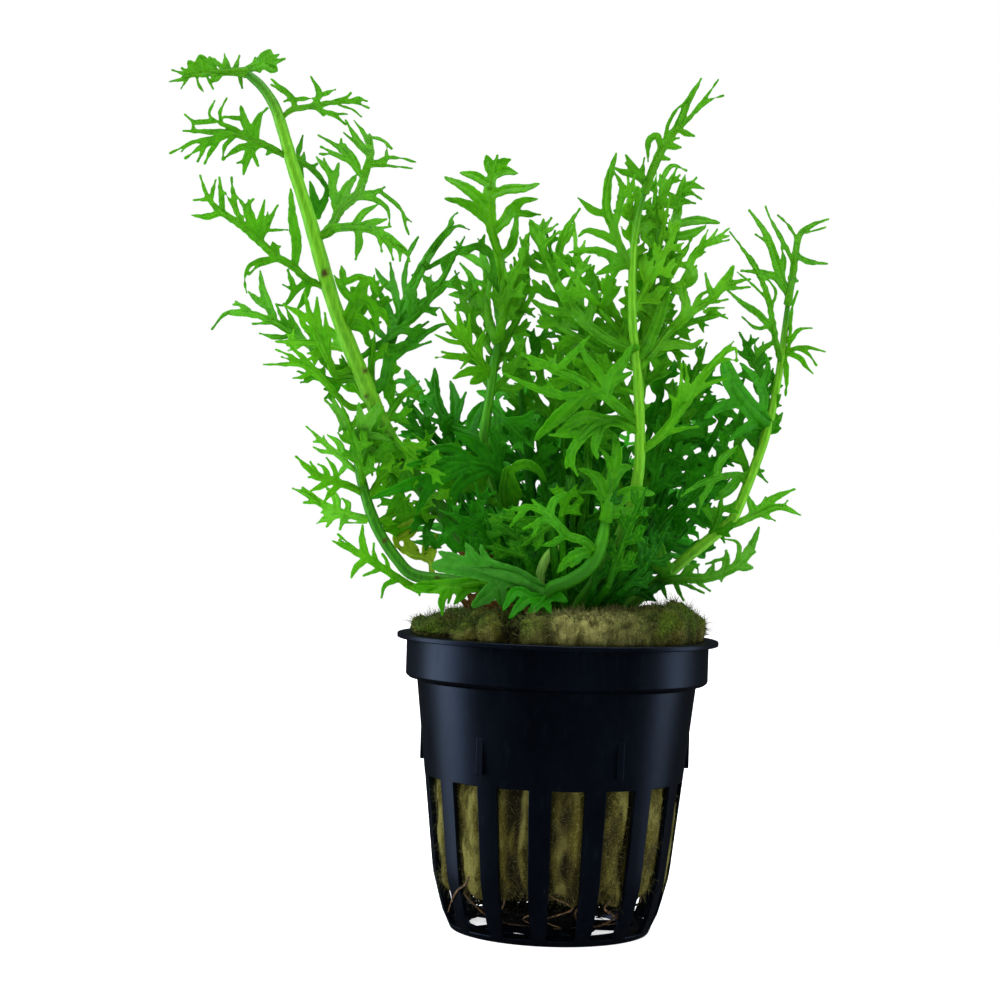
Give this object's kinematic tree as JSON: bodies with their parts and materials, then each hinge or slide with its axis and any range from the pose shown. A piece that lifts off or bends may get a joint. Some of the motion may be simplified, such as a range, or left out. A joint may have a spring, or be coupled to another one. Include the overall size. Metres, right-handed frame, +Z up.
{
  "type": "potted water sprite aquarium plant",
  "caption": "Finely divided green water plant growing from a mossy rock-wool plug in a small black slotted net pot.",
  "frame": {"origin": "centre of the underside of the pot's floor, where it stands", "axes": "+Z up the pot's axis, front towards -Y, +X to the right seen from the front; the tall stem leans towards -X"},
  "size_m": [0.1124, 0.0772, 0.149],
  "materials": {
    "net_pot": "smooth black moulded plastic, a little glossy",
    "rock_wool": "matted mineral fibre with moss, matte",
    "stem": "soft green stem, ribbed, slightly glossy",
    "leaf_fresh": "thin translucent leaf, satin",
    "leaf_bright": "young yellow-green leaf, satin",
    "leaf_deep": "older dark green leaf, satin",
    "leaf_pale": "pale green leaf, satin",
    "leaf_old": "yellowing leaf with dark spots, satin",
    "root": "thin brown root, matte"
  },
  "bodies": {
    "root": {"net_pot": "net_pot", "rock_wool": "rock_wool", "stem_tall": "stem", "stem_low_left": "stem", "stem_centre": "stem", "stem_middle": "stem", "stem_right": "stem", "stem_front": "stem", "stem_cut": "stem", "leaf_tall_tip": "leaf_fresh", "leaf_tall_upper_right": "leaf_fresh", "leaf_tall_upper_left": "leaf_fresh", "leaf_tall_right": "leaf_fresh", "leaf_tall_crossing": "leaf_deep", "leaf_tall_right_low": "leaf_fresh", "leaf_tall_left": "leaf_fresh", "leaf_tall_left_low": "leaf_fresh", "leaf_tall_left_base": "leaf_bright", "leaf_tall_inner": "leaf_bright", "leaf_tall_frond": "leaf_deep", "leaf_tall_wide": "leaf_fresh", "leaf_low_left_top": "leaf_pale", "leaf_low_left_high": "leaf_bright", "leaf_low_left_upper": "leaf_bright", "leaf_low_left_lower": "leaf_bright", "leaf_crown_left": "leaf_bright", "leaf_old_yellow": "leaf_old", "leaf_crown_low": "leaf_fresh", "leaf_crown_pale": "leaf_pale", "leaf_dark_broad": "leaf_deep", "leaf_blunt_lobes": "leaf_deep", "leaf_centre_tall": "leaf_fresh", "leaf_centre_left": "leaf_bright", "leaf_centre_upper_left": "leaf_fresh", "leaf_top_comb": "leaf_fresh", "leaf_middle_left_top": "leaf_fresh", "leaf_middle_left": "leaf_fresh", "leaf_middle_left_low": "leaf_fresh", "leaf_middle_top": "leaf_fresh", "leaf_middle_right_top": "leaf_fresh", "leaf_middle_right_side": "leaf_bright", "leaf_middle_right": "leaf_bright", "leaf_right_top": "leaf_fresh", "leaf_right_inner": "leaf_fresh", "leaf_right_outer": "leaf_bright", "leaf_right_dark": "leaf_deep", "leaf_right_cross": "leaf_fresh", "leaf_right_low_out": "leaf_bright", "leaf_right_pale_low": "leaf_pale", "leaf_front_fan": "leaf_fresh", "leaf_front_shoot": "leaf_bright", "leaf_inner_bright": "leaf_bright", "leaf_crown_front": "leaf_deep", "leaf_back_left": "leaf_deep", "leaf_back_middle": "leaf_deep", "leaf_back_right": "leaf_deep", "leaf_back_tall": "leaf_deep", "leaf_back_low_left": "leaf_deep", "leaf_back_low_right": "leaf_deep", "leaf_back_low": "leaf_deep"}
  },
  "joints": []
}
